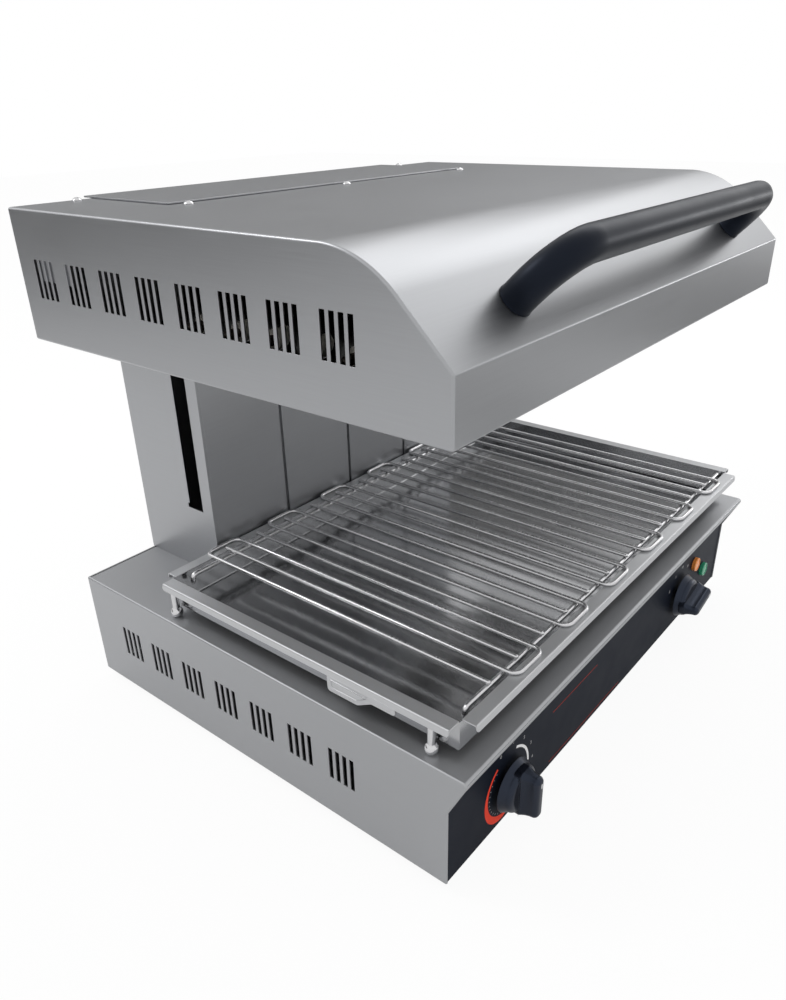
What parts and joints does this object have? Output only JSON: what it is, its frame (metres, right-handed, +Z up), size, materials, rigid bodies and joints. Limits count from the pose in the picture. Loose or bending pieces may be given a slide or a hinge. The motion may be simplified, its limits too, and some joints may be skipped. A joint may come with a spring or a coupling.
{
  "type": "salamander grill",
  "caption": "Countertop salamander grill: a heated hood on a rear column slides up and down over a wire rack and a drip pan, with two control knobs in front.",
  "frame": {"origin": "middle of the overall width and depth, on the surface that the feet stand on", "axes": "+Z up, -Y towards the user at the control panel, +X to the user's right"},
  "size_m": [0.6, 0.527, 0.5038],
  "materials": {
    "satin_steel": "fine satin, folded edges brighter",
    "plain_steel": "mill finish",
    "pan_steel": "smooth, half bright",
    "bright_steel": "bright drawn wire",
    "black_panel": "satin black film on steel",
    "black_tube": "gloss black paint",
    "black_plastic": "fine-grained satin black",
    "amber_lens": "translucent amber",
    "green_lens": "translucent green",
    "white_plastic": "moulded",
    "white_ceramic": "unglazed ceramic",
    "element_sheath": "dark oxidised alloy tube",
    "mineral_wool": "felted wool slab",
    "rubber": "matt black rubber",
    "bronze": "plain bearing bronze"
  },
  "bodies": {
    "base": {"base_shell": "satin_steel", "base_bottom_plate": "plain_steel", "rubber_feet": "rubber", "foot_screws": "bright_steel", "base_rear_panel": "plain_steel", "rear_screws": "bright_steel", "control_panel": "black_panel", "amber_lens": "amber_lens", "green_lens": "green_lens", "lamp_bodies": "black_plastic", "power_control": "black_plastic", "timer": "black_plastic", "terminal_block": "white_plastic", "cable_gland": "black_plastic", "column_shell": "satin_steel", "backsplash_panels": "satin_steel", "column_rear_cover": "plain_steel", "column_cap": "satin_steel", "lower_guide_bracket": "plain_steel", "upper_guide_bracket": "plain_steel", "guide_rods": "bright_steel", "gas_spring_feet": "plain_steel", "gas_spring_cylinders": "black_tube"},
    "hood": {"hood_shell": "satin_steel", "hood_screws": "bright_steel", "hood_liner": "plain_steel", "hood_floor": "plain_steel", "reflector": "pan_steel", "insulation_slab": "mineral_wool", "heating_elements": "element_sheath", "element_bushes": "white_ceramic", "element_supports": "plain_steel", "element_guard": "bright_steel", "handle": "black_plastic", "handle_bolts": "bright_steel", "hood_hangers": "plain_steel", "lift_beam": "plain_steel", "carriage_plate": "plain_steel", "guide_bushes": "bronze", "gas_spring_rods": "bright_steel"},
    "power_knob": {"power_knob": "black_plastic", "power_shaft": "bright_steel"},
    "timer_knob": {"timer_knob": "black_plastic", "timer_shaft": "bright_steel"},
    "drip_pan": {"drip_pan": "pan_steel", "pan_legs": "bright_steel"},
    "rack": {"rack_wires": "bright_steel", "rack_cross_bars": "bright_steel"}
  },
  "joints": [
    {"name": "hood_slide", "type": "slide", "parent": "base", "child": "hood", "axis": [0, 0, 1], "range_m": [-0.185, 0]},
    {"name": "power_turn", "type": "hinge", "parent": "base", "child": "power_knob", "pos_m": [-0.2075, -0.2325, 0.0495], "axis": [0, 1, 0], "range_deg": [0, 330]},
    {"name": "timer_turn", "type": "hinge", "parent": "base", "child": "timer_knob", "pos_m": [0.171, -0.2325, 0.0495], "axis": [0, 1, 0], "range_deg": [-77, 223]},
    {"name": "pan_slide", "type": "slide", "parent": "base", "child": "drip_pan", "axis": [0, -1, 0], "range_m": [0, 0.3]},
    {"name": "rack_lift", "type": "slide", "parent": "drip_pan", "child": "rack", "axis": [0, 0, 1], "range_m": [0, 0.12]}
  ]
}
